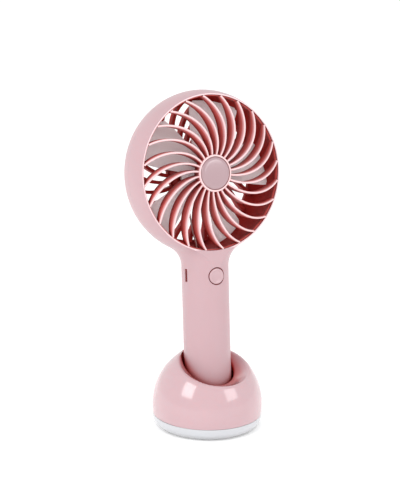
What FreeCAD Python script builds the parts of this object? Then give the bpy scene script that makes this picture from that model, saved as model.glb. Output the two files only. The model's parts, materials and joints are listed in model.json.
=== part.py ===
import FreeCAD, Part
import math
import os

# Hand-held battery fan standing in a weighted desk base.  Millimetres.
# The whole object: +Z up, origin on the floor at the centre of the base, the fan blows towards -Y.
# The fan itself is drawn upright in its own frame (handle axis on Z, head axis parallel to Y),
# and placed() leans it back into the base.

LEAN = 4.64               # backward lean of the handle in the base, degrees
LEAN_SHIFT = -2.9         # Y of the handle axis at floor height

# Head
HEAD_Z = 159.6            # height of the head axis along the handle
RIM_Y = -13.7             # plane of the front rim
RIM_R = 47.9              # outside radius at the rim
BARREL_Y = -3.0           # widest part of the barrel
BARREL_R = 50.6
SHOULDER_Y = 7.5          # where the barrel turns into the rounded back
SHOULDER_R = 49.4
BACK_CORNER_R = 17.0
BACK_CORNER_END = 83.0    # degrees round the corner where the shallow back dome takes over
BACK_Y = 21.4             # middle of the back
HEAD_WALL = 2.0
GRILLE_BORE_R = 47.1      # front opening that takes the grille
GRILLE_BORE_Y = -9.0      # the lugs snap behind this step
PARTING_Y = 0.0           # front and rear shells meet here

# Handle
HANDLE_R = 14.8
HANDLE_BORE_R = 13.0
HANDLE_BOTTOM_Z = 12.0
HANDLE_FLOOR_Z = 14.0
HANDLE_CEILING_Z = 107.2
HANDLE_END_FILLET = 1.6
NECK_FILLET = 15.0
CHIN_LOW_Z = 99.0         # the flat chin runs from the handle's front up to the rim plane
CHIN_HIGH_Z = 113.5

# Grilles
FIN_COUNT = 24
FIN_WIDTH = 1.4
FIN_PLAN = [(10.6, -7.0), (29.0, 2.7), (47.0, 21.6)]      # radius, degrees
FIN_CREST = [(10.4, -15.5), (28.0, -18.55), (46.8, -14.0)]  # radius, Y of the front edge
FIN_BACK_Y = -10.0
GRILLE_RING_R = 47.0
GRILLE_RING_IN_R = 46.4
GRILLE_RING_Y = (-12.6, -9.4)
HUB_RING_R = 11.2
HUB_RING_IN_R = 10.2
HUB_RING_Y = (-16.1, -10.0)
HUB_PLATE_Y = (-13.2, -11.6)
CAP_R = 10.05
CAP_FLAT_R = 8.6
CAP_FACE_Y = -17.1
CAP_EDGE_Y = -15.9
CAP_PEG_R = 1.5
LUG_COUNT = 4
LUG_NOSE_R = 47.4
LUG_NOSE_Y = (-8.9, -8.1)
LUG_WIDTH = 6.0
RIB_WIDTH = 2.1
RIB_DEPTH = 4.6
RIB_INSET = 0.3           # the ribs lie a little below the shell's outer surface
RIB_PLAN = [(13.0, 23.9), (28.5, 8.7), (44.2, -6.7)]      # the rear ribs spiral the other way
REAR_OPENING_R = 43.0
REAR_HUB_R = 14.6
HUB_PLATE_BACK_Y = 21.1   # flat, so that the motor's screw heads seat

# Motor, on the head axis
MOTOR_R = 12.2
MOTOR_CAN_Y = (5.2, 15.6)
MOTOR_WALL = 0.8
MOTOR_BOSS_R = 3.4
MOTOR_BOSS_Y = 4.0
BUSH_R = 2.6
BUSH_BORE_R = 1.03
SHAFT_R = 0.98
SHAFT_Y = (-5.4, 16.8)
ENDCAP_BACK_Y = 17.4
CUP_R = 13.9
CUP_BORE_R = 12.45
CUP_FRONT_Y = 9.0
MOTOR_SCREW_X = 6.0
MOTOR_SCREW_SEAT_Y = 19.2
TERMINAL_X = 4.0
TERMINAL_Y = (16.0, 16.4)

# Impeller
BLADE_COUNT = 5
BLADE_THICKNESS = 1.3
BLADE_TIP_R = 44.3
BLADE_MID_Y = -0.6
BLADE_START = 84.0        # degrees from straight up to the first blade
BLADE_SECTIONS = [(10.5, 15.0, 44.0), (28.0, 25.5, 31.0), (47.5, 31.5, 21.0)]  # radius, chord, pitch
IMPELLER_HUB_R = 13.0
IMPELLER_HUB_Y = (-7.4, 3.6)

# Power unit in the handle
CELL_R = 9.25
CELL_LENGTH = 65.0
CELL_Z = 19.8
CRADLE_HEIGHTS = (30.0, 52.0, 74.0)
BOARD_Y = (-0.7, 0.3)
BOARD_Z = (86.4, 106.4)
BOARD_X = 12.2
USB_Z = 97.1
USB_OPENING = (7.8, 2.2)
BUTTON_Z = 96.7
BUTTON_R = 5.0
BUTTON_FLANGE_R = 5.9
BUTTON_RECESS_R = 5.5
BUTTON_SEAT_Y = -13.3
BUTTON_PAD_Y = -11.4
BUTTON_FACE_Y = -14.75
BUTTON_STEM_R = 1.7
BUTTON_STEM_END_Y = -8.2
LEAD_R = 0.6
MOTOR_LEAD_R = 0.55

# Shell screws: (x, z), driven from the rear
SHELL_SCREWS = [(0.0, 16.7), (-8.0, 109.5), (8.0, 109.5)]
SCREW_R = 1.0
SCREW_HOLE_R = 1.06
SCREW_HEAD_R = 1.9
SCREW_HEAD_H = 1.4
COUNTERBORE_R = 2.1
SHELL_SCREW_SEAT_Y = 5.0
SCREW_POST_R = 2.4        # post across the handle for the bottom screw
SCREW_POST_Y = 13.6

# Base
DOME_R = 35.0
DOME_MID_Z = 13.5         # height of the widest ring
DOME_RISE = 37.0          # vertical half axis of the ellipsoid
DOME_WALL = 2.0
SEAM_Z = 8.0              # coloured dome above, white tray below
SCOOP_R = 31.4            # spherical scoop in front of the handle
SCOOP_CENTRE = (0.0, -15.0, 61.5)
SOCKET_R = 15.1
SOCKET_MOUTH_R = 16.2
SOCKET_FLOOR_Z = 11.9     # along the handle axis
SOCKET_WALL = 2.0
TRAY_BOTTOM_R = 30.7
TRAY_BOTTOM_Z = 0.4
TRAY_BULGE = (33.55, 3.3)  # radius and height of a point half way up its side
TRAY_FLOOR_R = 30.0
TRAY_FLOOR_Z = 2.3
PAD_R = (19.0, 25.0)
PAD_H = 1.0
BASE_SCREW_R = 28.0
BASE_SCREW_ANGLES = (90.0, 210.0, 330.0)
BOSS_R = 2.6
BALLAST_R = (19.5, 23.6)
BALLAST_Z = (2.4, 12.4)
BALLAST_SHIFT_Y = -1.8

FAR = 200.0               # longer than anything here, for cutting blocks


def vec(x, y, z):
    return FreeCAD.Vector(x, y, z)


def block(x, y, z):
    """A box from its (low, high) pairs."""
    return Part.makeBox(x[1] - x[0], y[1] - y[0], z[1] - z[0], vec(x[0], y[0], z[0]))


def rod_y(radius, y, x=0.0, z=HEAD_Z):
    """A cylinder along Y between the two Y values."""
    return Part.makeCylinder(radius, y[1] - y[0], vec(x, y[0], z), vec(0, 1, 0))


def rod_z(radius, z, x=0.0, y=0.0):
    """A cylinder along Z between the two Z values."""
    return Part.makeCylinder(radius, z[1] - z[0], vec(x, y, z[0]), vec(0, 0, 1))


def ring_y(outer, inner, y):
    return rod_y(outer, y).cut(rod_y(inner, (y[0] - 1, y[1] + 1)))


def ring_z(outer, inner, z, y=0.0):
    return rod_z(outer, z, y=y).cut(rod_z(inner, (z[0] - 1, z[1] + 1), y=y))


def fused(shapes):
    """One solid from several that overlap."""
    return shapes[0].multiFuse(shapes[1:]).removeSplitter()


def without(shape, tools):
    return shape.cut(tools)


def group(shapes):
    """Identical loose pieces kept as separate solids in one node."""
    return Part.makeCompound(shapes)


def line(start, end):
    return Part.LineSegment(start, end).toShape()


def arc(start, middle, end):
    return Part.Arc(start, middle, end).toShape()


def head_point(radius, y):
    """A point of a profile that is turned about the head axis."""
    return vec(radius, y, HEAD_Z)


def turned(edges):
    """The solid that a closed profile sweeps about the head axis."""
    face = Part.Face(Part.Wire(edges))
    return face.revolve(vec(0, 0, HEAD_Z), vec(0, 1, 0), 360)


def round_head_axis(shape, degrees):
    copy = shape.copy()
    copy.rotate(vec(0, 0, HEAD_Z), vec(0, 1, 0), degrees)
    return copy


def placed(shape):
    """Lean a shape of the fan's own frame back into the base."""
    copy = shape.copy()
    copy.rotate(vec(0, 0, 0), vec(1, 0, 0), -LEAN)
    copy.translate(vec(0, LEAN_SHIFT, 0))
    return copy


def save(node, shape):
    shape.exportStep("parts/" + node + ".step")


# ---------------------------------------------------------------- head profile

BARREL = arc(
    head_point(RIM_R, RIM_Y),
    head_point(BARREL_R, BARREL_Y),
    head_point(SHOULDER_R, SHOULDER_Y),
).Curve
BARREL_ARC_Y = BARREL.Center.y
BARREL_ARC_R = BARREL.Center.x
SHOULDER_ANGLE = math.atan2(SHOULDER_Y - BARREL_ARC_Y, SHOULDER_R - BARREL_ARC_R)
CORNER_Y = SHOULDER_Y - BACK_CORNER_R * math.sin(SHOULDER_ANGLE)
CORNER_CENTRE_R = SHOULDER_R - BACK_CORNER_R * math.cos(SHOULDER_ANGLE)


def on_circle(centre_r, centre_y, radius, angle):
    """Angle is measured from straight outwards towards the back."""
    return head_point(centre_r + radius * math.cos(angle), centre_y + radius * math.sin(angle))


def head_solid(inset, front_y):
    """The head's round body, shrunk by inset all over, cut flat at front_y."""
    barrel_r = BARREL.Radius - inset
    corner_r = BACK_CORNER_R - inset
    first = math.asin((front_y - BARREL_ARC_Y) / barrel_r)
    last = math.radians(BACK_CORNER_END)
    start = on_circle(BARREL_ARC_R, BARREL_ARC_Y, barrel_r, first)
    barrel_mid = on_circle(BARREL_ARC_R, BARREL_ARC_Y, barrel_r, (first + SHOULDER_ANGLE) / 2)
    shoulder = on_circle(BARREL_ARC_R, BARREL_ARC_Y, barrel_r, SHOULDER_ANGLE)
    corner_mid = on_circle(CORNER_CENTRE_R, CORNER_Y, corner_r, (SHOULDER_ANGLE + last) / 2)
    corner_end = on_circle(CORNER_CENTRE_R, CORNER_Y, corner_r, last)
    back = head_point(0, BACK_Y - inset)
    rise = back.y - corner_end.y
    dome_mid = head_point(corner_end.x / 2, back.y - rise / 4)
    front = head_point(0, front_y)
    return turned([
        arc(start, barrel_mid, shoulder),
        arc(shoulder, corner_mid, corner_end),
        arc(corner_end, dome_mid, back),
        line(back, front),
        line(front, start),
    ])


# ---------------------------------------------------------------- shells

def outer_body():
    """Head and handle as one solid, with the flared neck, the flat chin and the rounded handle end."""
    handle = rod_z(HANDLE_R, (HANDLE_BOTTOM_Z, HEAD_Z - 36))
    body = head_solid(0, -18.0).fuse(handle).removeSplitter()
    neck_edges = []
    for edge in body.Edges:
        box = edge.BoundBox
        if 100 < box.ZMin and box.ZMax < 118 and box.XMax - box.XMin > 1:
            neck_edges.append(edge)
    body = body.makeFillet(NECK_FILLET, neck_edges)
    end_edges = [edge for edge in body.Edges if edge.BoundBox.ZMax < HANDLE_BOTTOM_Z + 0.01]
    body = body.makeFillet(HANDLE_END_FILLET, end_edges)
    chin = Part.Face(Part.makePolygon([
        vec(-FAR, RIM_Y, HEAD_Z + FAR),
        vec(-FAR, RIM_Y, CHIN_HIGH_Z),
        vec(-FAR, -HANDLE_R, CHIN_LOW_Z),
        vec(-FAR, -HANDLE_R - 20, CHIN_LOW_Z - 1),
        vec(-FAR, -HANDLE_R - 20, HEAD_Z + FAR),
        vec(-FAR, RIM_Y, HEAD_Z + FAR),
    ])).extrude(vec(2 * FAR, 0, 0))
    return body.cut(chin)


def screw_at(x, z, head_y, tip_y):
    """A pan-head screw along Y: head at the back, cross slot in the head, tapered tip in front."""
    head = rod_y(SCREW_HEAD_R, (head_y, head_y + SCREW_HEAD_H), x, z)
    shank = rod_y(SCREW_R, (tip_y + 1.5, head_y + 0.2), x, z)
    tip = Part.makeCone(0.3, SCREW_R, 1.5, vec(x, tip_y, z), vec(0, 1, 0))
    slot_y = (head_y + 0.7, head_y + SCREW_HEAD_H + 1)
    across = block((x - 1.1, x + 1.1), slot_y, (z - 0.2, z + 0.2))
    upright = block((x - 0.2, x + 0.2), slot_y, (z - 1.1, z + 1.1))
    return without(fused([shank, tip, head]), [across, upright])


def battery_cradles():
    """Crescent ribs that hold the cell, notched behind it for the lead."""
    rings = []
    for z in CRADLE_HEIGHTS:
        rib = ring_z(HANDLE_BORE_R + 0.5, CELL_R + 0.15, (z - 0.8, z + 0.8))
        rings.append(rib.cut(block((-4.2, 4.2), (7.5, 14.2), (z - 2, z + 2))))
    return rings


def shells():
    body = outer_body()
    body = without(body, [
        head_solid(HEAD_WALL, -20.0),
        rod_y(GRILLE_BORE_R, (-30.0, GRILLE_BORE_Y)),
        rod_z(HANDLE_BORE_R, (HANDLE_FLOOR_Z, HANDLE_CEILING_Z)),
        rod_y(REAR_OPENING_R, (PARTING_Y, 40.0)),
    ])
    screw_post = rod_y(SCREW_POST_R, (-SCREW_POST_Y, SCREW_POST_Y), SHELL_SCREWS[0][0], SHELL_SCREWS[0][1])
    button_pad = rod_y(7.0, (-14.0, BUTTON_PAD_Y), 0, BUTTON_Z)
    inside = rod_z(HANDLE_BORE_R + 0.6, (HANDLE_FLOOR_Z - 1, HANDLE_CEILING_Z))
    body = fused([body, button_pad.common(inside), screw_post] + battery_cradles())
    cuts = [rod_y(BUTTON_RECESS_R, (-20.0, BUTTON_SEAT_Y), 0, BUTTON_Z)]
    cuts.append(rod_y(BUTTON_R + 0.2, (-20.0, -8.0), 0, BUTTON_Z))
    half_height = USB_OPENING[0] / 2 + 0.1
    half_depth = USB_OPENING[1] / 2
    usb_mid = BOARD_Y[0] - 1.35
    cuts.append(block((-20.0, -8.0), (usb_mid - half_depth, usb_mid + half_depth),
                      (USB_Z - half_height, USB_Z + half_height)))
    wire_slot = block((-1.9, 1.9), (7.0, 9.0), (HANDLE_CEILING_Z - 1, HANDLE_CEILING_Z + 8))
    cuts.append(wire_slot)
    for x, z in SHELL_SCREWS:
        cuts.append(rod_y(COUNTERBORE_R, (SHELL_SCREW_SEAT_Y, 40.0), x, z))
        cuts.append(rod_y(SCREW_HOLE_R, (-6.8, 10.0), x, z))
    body = without(body, cuts)
    front = body.common(block((-FAR, FAR), (-FAR, PARTING_Y), (-FAR, 2 * FAR)))
    rear = body.common(block((-FAR, FAR), (PARTING_Y, FAR), (-FAR, 2 * FAR)))
    return front, rear


def plan_strip(plan, width, y):
    """A curved fin of constant width: plan gives three (radius, degrees) points of its middle line."""
    points = []
    for radius, degrees in plan:
        angle = math.radians(degrees)
        points.append(vec(radius * math.cos(angle), y[0], HEAD_Z + radius * math.sin(angle)))
    curve = arc(*points).Curve
    centre = curve.Center
    sides = []
    for radius in (curve.Radius - width / 2, curve.Radius + width / 2):
        sides.append([centre + (point - centre).normalize() * radius for point in points])
    inner, outer = sides
    outline = Part.Wire([arc(*inner), line(inner[2], outer[2]), arc(*outer[::-1]), line(outer[0], inner[0])])
    return Part.Face(outline).extrude(vec(0, y[1] - y[0], 0))


def radial_fins(plan, width, y, band):
    """The same curved fin all round the head, trimmed to the band."""
    first = plan_strip(plan, width, y).common(band)
    return [round_head_axis(first, 360.0 / FIN_COUNT * i) for i in range(FIN_COUNT)]


def rear_grille():
    """Deep spiral ribs in the back, the motor's hub plate and the cup round the motor."""
    band = head_solid(RIB_INSET, 3.0).cut(head_solid(RIB_DEPTH, 2.0))
    band = band.common(ring_y(REAR_OPENING_R + 0.8, REAR_HUB_R - 0.5, (0.0, 40.0)))
    ribs = radial_fins(RIB_PLAN, RIB_WIDTH, (3.0, 30.0), band)
    plate = rod_y(REAR_HUB_R, (ENDCAP_BACK_Y + 0.2, HUB_PLATE_BACK_Y))
    cup = ring_y(CUP_R, CUP_BORE_R, (CUP_FRONT_Y, ENDCAP_BACK_Y + 0.6))
    notch = block((-6.0, 6.0), (13.0, ENDCAP_BACK_Y + 0.2), (HEAD_Z - 16, HEAD_Z - 10))
    pieces = fused([plate, cup.cut(notch)] + ribs)
    cuts = []
    for x in (-MOTOR_SCREW_X, MOTOR_SCREW_X):
        cuts.append(rod_y(SCREW_HOLE_R, (10.0, 30.0), x))
        cuts.append(rod_y(COUNTERBORE_R, (MOTOR_SCREW_SEAT_Y, 30.0), x))
    return without(pieces, cuts)


def front_grille():
    crest = [head_point(radius, y) for radius, y in FIN_CREST]
    inner, middle, outer = crest
    foot_in = head_point(inner.x, FIN_BACK_Y)
    foot_out = head_point(outer.x, FIN_BACK_Y)
    band = turned([
        arc(inner, middle, outer),
        line(outer, foot_out),
        line(foot_out, foot_in),
        line(foot_in, inner),
    ])
    band = band.common(ring_y(GRILLE_RING_IN_R + 0.3, HUB_RING_R - 0.5, (-30.0, 0.0)))
    fins = radial_fins(FIN_PLAN, FIN_WIDTH, (-25.0, -5.0), band)
    rim = ring_y(GRILLE_RING_R, GRILLE_RING_IN_R, GRILLE_RING_Y)
    hub = ring_y(HUB_RING_R, HUB_RING_IN_R, HUB_RING_Y)
    plate = rod_y(HUB_RING_IN_R + 0.3, HUB_PLATE_Y).cut(rod_y(CAP_PEG_R + 0.06, (-20.0, 0.0)))
    lugs = []
    for i in range(LUG_COUNT):
        arm = ring_y(GRILLE_RING_R, GRILLE_RING_IN_R, (GRILLE_RING_Y[1] - 0.3, LUG_NOSE_Y[1]))
        nose = ring_y(LUG_NOSE_R, GRILLE_RING_R - 0.4, LUG_NOSE_Y)
        sector = block((-LUG_WIDTH / 2, LUG_WIDTH / 2), (-12.0, -5.0), (HEAD_Z + 30, HEAD_Z + 60))
        lug = fused([arm, nose]).common(sector)
        lugs.append(round_head_axis(lug, 45 + 360.0 / LUG_COUNT * i))
    return fused([rim, hub, plate] + fins + lugs)


def hub_cap():
    """Glossy button-like disc with a rounded bevel and a peg."""
    edge = head_point(CAP_R, CAP_EDGE_Y)
    flat = head_point(CAP_FLAT_R, CAP_FACE_Y)
    bevel_mid = head_point(CAP_R - 0.45, CAP_FACE_Y + 0.35)
    back = HUB_PLATE_Y[0]
    profile = [
        line(head_point(0, CAP_FACE_Y), flat),
        arc(flat, bevel_mid, edge),
        line(edge, head_point(CAP_R, back)),
        line(head_point(CAP_R, back), head_point(CAP_PEG_R, back)),
        line(head_point(CAP_PEG_R, back), head_point(CAP_PEG_R, HUB_PLATE_Y[1] + 0.6)),
        line(head_point(CAP_PEG_R, HUB_PLATE_Y[1] + 0.6), head_point(0, HUB_PLATE_Y[1] + 0.6)),
        line(head_point(0, HUB_PLATE_Y[1] + 0.6), head_point(0, CAP_FACE_Y)),
    ]
    return turned(profile)


# ---------------------------------------------------------------- motor

def motor_can():
    can = rod_y(MOTOR_R, MOTOR_CAN_Y)
    boss = rod_y(MOTOR_BOSS_R, (MOTOR_BOSS_Y, MOTOR_CAN_Y[0] + MOTOR_WALL))
    hollow = rod_y(MOTOR_R - MOTOR_WALL, (MOTOR_CAN_Y[0] + MOTOR_WALL, 30.0))
    return fused([can, boss]).cut([hollow, rod_y(BUSH_R + 0.02, (0.0, 10.0))])


def motor_endcap():
    flange = rod_y(MOTOR_R - 0.05, (MOTOR_CAN_Y[1], ENDCAP_BACK_Y))
    spigot = rod_y(MOTOR_R - MOTOR_WALL - 0.05, (MOTOR_CAN_Y[1] - 0.8, MOTOR_CAN_Y[1] + 0.1))
    cuts = [rod_y(BUSH_R + 0.02, (10.0, 20.0))]
    for x in (-MOTOR_SCREW_X, MOTOR_SCREW_X):
        cuts.append(rod_y(SCREW_HOLE_R, (10.0, 20.0), x))
    slot_y = (TERMINAL_Y[0] - 0.05, TERMINAL_Y[1] + 0.05)
    for x in (-TERMINAL_X, TERMINAL_X):
        cuts.append(block((x - 1.05, x + 1.05), slot_y, (HEAD_Z - 13, HEAD_Z - 8)))
    return without(fused([flange, spigot]), cuts)


def bush(y):
    return ring_y(BUSH_R, BUSH_BORE_R, y)


def armature():
    """Three-pole laminated core with its commutator."""
    core = rod_y(8.6, (7.6, 13.4))
    slots = []
    for i in range(3):
        slot = block((-1.2, 1.2), (7.0, 14.0), (HEAD_Z + 5.2, HEAD_Z + 9))
        slots.append(round_head_axis(slot, 120 * i))
    commutator = rod_y(2.4, (13.2, 15.0))
    return fused([core.cut(slots), commutator]).cut(rod_y(SHAFT_R + 0.01, (0.0, 20.0)))


def terminal(x):
    return block((x - 1.0, x + 1.0), TERMINAL_Y, (HEAD_Z - 14.0, HEAD_Z - 8.1))


# ---------------------------------------------------------------- impeller

def blade_section(radius, chord, pitch):
    """A thin flat rectangle across the blade at one radius, pitched to throw air forwards."""
    angle = math.radians(pitch)
    along = vec(math.cos(angle), -math.sin(angle), 0)
    across = vec(math.sin(angle), math.cos(angle), 0)
    centre = vec(0, BLADE_MID_Y, HEAD_Z + radius)
    half_chord = along * (chord / 2)
    half_thick = across * (BLADE_THICKNESS / 2)
    corners = [
        centre - half_chord - half_thick,
        centre + half_chord - half_thick,
        centre + half_chord + half_thick,
        centre - half_chord + half_thick,
    ]
    return Part.makePolygon(corners + corners[:1])


def impeller():
    sections = [blade_section(*section) for section in BLADE_SECTIONS]
    blade = Part.makeLoft(sections, True, False)
    swept = ring_y(BLADE_TIP_R, IMPELLER_HUB_R - 0.8, (-12.0, 12.0))
    blade = blade.common(swept)
    blades = [round_head_axis(blade, BLADE_START + 360.0 / BLADE_COUNT * i) for i in range(BLADE_COUNT)]
    hub = rod_y(IMPELLER_HUB_R, IMPELLER_HUB_Y)
    nose_edges = [edge for edge in hub.Edges if edge.BoundBox.YMax < IMPELLER_HUB_Y[0] + 0.01]
    hub = hub.makeFillet(2.5, nose_edges)
    hub = hub.cut(rod_y(IMPELLER_HUB_R - 1.4, (IMPELLER_HUB_Y[0] + 1.6, 10.0)))
    boss = rod_y(2.7, (IMPELLER_HUB_Y[0] + 1.0, 3.4))
    return fused([hub, boss] + blades).cut(rod_y(SHAFT_R + 0.01, (SHAFT_Y[0] - 0.2, 10.0)))


# ---------------------------------------------------------------- power unit

def cell():
    body = rod_z(CELL_R, (CELL_Z, CELL_Z + CELL_LENGTH - 1.2))
    button = rod_z(3.0, (CELL_Z + CELL_LENGTH - 1.3, CELL_Z + CELL_LENGTH))
    rims = [edge for edge in body.Edges if abs(edge.BoundBox.ZMax - edge.BoundBox.ZMin) < 0.01]
    return fused([body.makeFillet(0.7, rims), button])


def cell_tab(z):
    """Nickel strip welded across one end of the cell."""
    return block((-3.5, 3.5), (-4.0, 7.0), z)


def circuit_board():
    board = block((-BOARD_X, BOARD_X), BOARD_Y, BOARD_Z)
    corner = [edge for edge in board.Edges if abs(edge.BoundBox.YMax - edge.BoundBox.YMin) > 0.9]
    return board.makeFillet(1.0, corner)


def usb_receptacle():
    """Metal micro-USB shell lying on the board's front face, open towards -X."""
    back = BOARD_Y[0]
    y = (back - 2.5, back)
    z = (USB_Z - 3.75, USB_Z + 3.75)
    x = (-12.5, -8.4)
    shell = block(x, y, z)
    corners = []
    for edge in shell.Edges:
        box = edge.BoundBox
        if box.XMax - box.XMin > 4 and box.YMin < y[0] + 0.01:
            corners.append(edge)
    shell = shell.makeFillet(0.6, corners)
    hollow = block((x[0] - 1, x[1] - 0.4), (y[0] + 0.35, y[1] - 0.35), (z[0] + 0.35, z[1] - 0.35))
    tongue = block((x[0] + 0.7, x[1] - 0.2), (back - 1.6, back - 1.0), (z[0] + 1.2, z[1] - 1.2))
    return fused([shell.cut(hollow), tongue])


def tact_switch():
    body = block((-3.0, 3.0), (-4.3, BOARD_Y[0]), (BUTTON_Z - 3.0, BUTTON_Z + 3.0))
    return body.cut(rod_y(1.85, (-6.0, -2.1), 0, BUTTON_Z))


def switch_plunger():
    return rod_y(BUTTON_STEM_R, (BUTTON_STEM_END_Y, -3.1), 0, BUTTON_Z)


def power_button():
    """Round key with a gently domed face, a stop flange behind the shell and a stem."""
    key = rod_y(BUTTON_R, (BUTTON_FACE_Y, -11.0), 0, BUTTON_Z)
    rim = [edge for edge in key.Edges if edge.BoundBox.YMax < BUTTON_FACE_Y + 0.01]
    key = key.makeFillet(0.5, rim)
    flange = rod_y(BUTTON_FLANGE_R, (-11.2, -10.2), 0, BUTTON_Z)
    stem = rod_y(BUTTON_STEM_R, (-10.4, BUTTON_STEM_END_Y), 0, BUTTON_Z)
    return fused([key, flange, stem])


def board_parts():
    """Charging chip, power transistor, inductor and small passives on the rear face of the board."""
    back = BOARD_Y[1]
    chip = block((-9.0, -4.0), (back, back + 1.5), (92.0, 96.0))
    transistor = block((4.5, 7.5), (back, back + 1.1), (94.5, 96.2))
    inductor = rod_y(2.4, (back, back + 2.4), 8.0, 101.0)
    pieces = [chip, transistor, inductor]
    for i in range(4):
        x = -9.2 + 2.2 * i
        pieces.append(block((x, x + 1.6), (back, back + 0.6), (98.4, 99.2)))
    return group(pieces)


def lead(points, radius):
    """A thin insulated wire: straight runs joined by arcs as large as the runs allow."""
    edges = []
    start = points[0]
    for i in range(1, len(points) - 1):
        corner = points[i]
        before = (points[i - 1] - corner).normalize()
        after = (points[i + 1] - corner).normalize()
        run = min((points[i - 1] - corner).Length, (points[i + 1] - corner).Length)
        setback = 0.45 * run
        enter = corner + before * setback
        leave = corner + after * setback
        bisector = (before + after).normalize()
        half = before.getAngle(bisector)
        depth = setback / math.cos(half)
        bend = setback * math.tan(half)
        edges.append(line(start, enter))
        edges.append(arc(enter, corner + bisector * (depth - bend), leave))
        start = leave
    edges.append(line(start, points[-1]))
    path = Part.Wire(edges)
    heading = (points[1] - points[0]).normalize()
    section = Part.Wire([Part.Circle(points[0], heading, radius).toShape()])
    return path.makePipeShell([section], True, True)


def battery_lead_red():
    """From the tab on top of the cell to the rear face of the board."""
    top = CELL_Z + CELL_LENGTH + 0.4
    return lead([
        vec(3, 4, top),
        vec(3, 4.6, top + 5.4),
        vec(3, BOARD_Y[1] + 0.02, top + 5.4),
    ], LEAD_R)


def battery_lead_black():
    """From under the cell, up behind it through the cradle notches, to the rear face of the board."""
    bottom = CELL_Z - 0.27 - LEAD_R
    return lead([
        vec(-3, 5.0, bottom),
        vec(-3, 11.2, bottom),
        vec(-3, 11.2, 90.0),
        vec(-3, BOARD_Y[1] + 0.02, 90.0),
    ], LEAD_R)


def motor_lead(side):
    """From the board, through the slot in the neck, over the rear grille to a motor terminal."""
    x = side * 1.0
    return lead([
        vec(x, BOARD_Y[1] + 0.05, 103.6),
        vec(x, 8.0, 104.2),
        vec(x, 8.0, 114.2),
        vec(side * 1.2, 12.6, 123.0),
        vec(side * 2.0, 14.2, 134.0),
        vec(side * TERMINAL_X, 15.4, 145.8),
    ], MOTOR_LEAD_R)


# ---------------------------------------------------------------- base

def half_ellipsoid(inset):
    """The dome's ellipsoid of revolution about Z, shrunk by inset, above the seam."""
    radius = DOME_R - inset
    rise = DOME_RISE - inset
    centre = vec(0, 0, DOME_MID_Z)
    top = centre + vec(0, 0, rise)
    ellipse = Part.Ellipse(top, centre + vec(radius, 0, 0), centre)
    low_angle = math.acos((SEAM_Z - DOME_MID_Z) / rise)
    low = vec(radius * math.sin(low_angle), 0, SEAM_Z)
    foot = vec(0, 0, SEAM_Z)
    side = Part.ArcOfEllipse(ellipse, 0, low_angle).toShape()
    profile = Part.Wire([side, line(low, foot), line(foot, top)])
    return Part.Face(profile).revolve(vec(0, 0, 0), vec(0, 0, 1), 360)


def base_screw_places():
    places = []
    for degrees in BASE_SCREW_ANGLES:
        angle = math.radians(degrees)
        places.append((BASE_SCREW_R * math.cos(angle), BASE_SCREW_R * math.sin(angle)))
    return places


def base_dome():
    outer = half_ellipsoid(0)
    shell = outer.cut(half_ellipsoid(DOME_WALL))
    scoop = Part.makeSphere(SCOOP_R, vec(*SCOOP_CENTRE))
    scoop_wall = Part.makeSphere(SCOOP_R + DOME_WALL, vec(*SCOOP_CENTRE)).common(outer)
    socket = placed(rod_z(SOCKET_MOUTH_R + SOCKET_WALL, (SOCKET_FLOOR_Z - SOCKET_WALL, 60.0))).common(outer)
    bosses = []
    for x, y in base_screw_places():
        high = rod_z(BOSS_R, (SEAM_Z, 45.0), x, y).common(outer)
        bosses.append(high.fuse(rod_z(BOSS_R, (4.1, SEAM_Z + 1.0), x, y)))
    dome = fused([shell, scoop_wall, socket] + bosses)
    cuts = [scoop]
    cuts.append(placed(rod_z(SOCKET_R, (SOCKET_FLOOR_Z, 80.0))))
    cuts.append(placed(Part.makeCone(SOCKET_R, SOCKET_MOUTH_R, 4.0, vec(0, 0, 20.0), vec(0, 0, 1))))
    cuts.append(placed(rod_z(SOCKET_MOUTH_R, (24.0, 80.0))))
    for x, y in base_screw_places():
        cuts.append(rod_z(SCREW_HOLE_R, (0.0, 12.5), x, y))
    return without(dome, cuts)


def base_tray():
    seam_r = DOME_R * math.cos(math.asin((SEAM_Z - DOME_MID_Z) / DOME_RISE))
    bottom_edge = vec(TRAY_BOTTOM_R, 0, TRAY_BOTTOM_Z)
    seam_edge = vec(seam_r, 0, SEAM_Z)
    floor_edge = vec(TRAY_FLOOR_R, 0, TRAY_FLOOR_Z)
    tongue_r = DOME_R - DOME_WALL - 0.5
    profile = [
        line(vec(0, 0, TRAY_BOTTOM_Z), bottom_edge),
        arc(bottom_edge, vec(TRAY_BULGE[0], 0, TRAY_BULGE[1]), seam_edge),
        line(seam_edge, vec(tongue_r, 0, SEAM_Z)),
        line(vec(tongue_r, 0, SEAM_Z), vec(tongue_r, 0, SEAM_Z + 2.2)),
        line(vec(tongue_r, 0, SEAM_Z + 2.2), vec(tongue_r - 1.1, 0, SEAM_Z + 2.2)),
        line(vec(tongue_r - 1.1, 0, SEAM_Z + 2.2), vec(tongue_r - 1.1, 0, 4.6)),
        line(vec(tongue_r - 1.1, 0, 4.6), floor_edge),
        line(floor_edge, vec(0, 0, TRAY_FLOOR_Z)),
        line(vec(0, 0, TRAY_FLOOR_Z), vec(0, 0, TRAY_BOTTOM_Z)),
    ]
    tray = Part.Face(Part.Wire(profile)).revolve(vec(0, 0, 0), vec(0, 0, 1), 360)
    pillars = [rod_z(3.3, (1.0, 4.0), x, y) for x, y in base_screw_places()]
    collar = ring_z(BALLAST_R[0] - 0.2, BALLAST_R[0] - 1.3, (1.5, 7.0), BALLAST_SHIFT_Y)
    cuts = [ring_z(PAD_R[1] + 0.1, PAD_R[0] - 0.1, (-1.0, PAD_H))]
    for x, y in base_screw_places():
        cuts.append(rod_z(2.3, (-1.0, 2.3), x, y))
        cuts.append(rod_z(SCREW_HOLE_R, (0.0, 6.0), x, y))
    return without(fused([tray, collar] + pillars), cuts)


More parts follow.
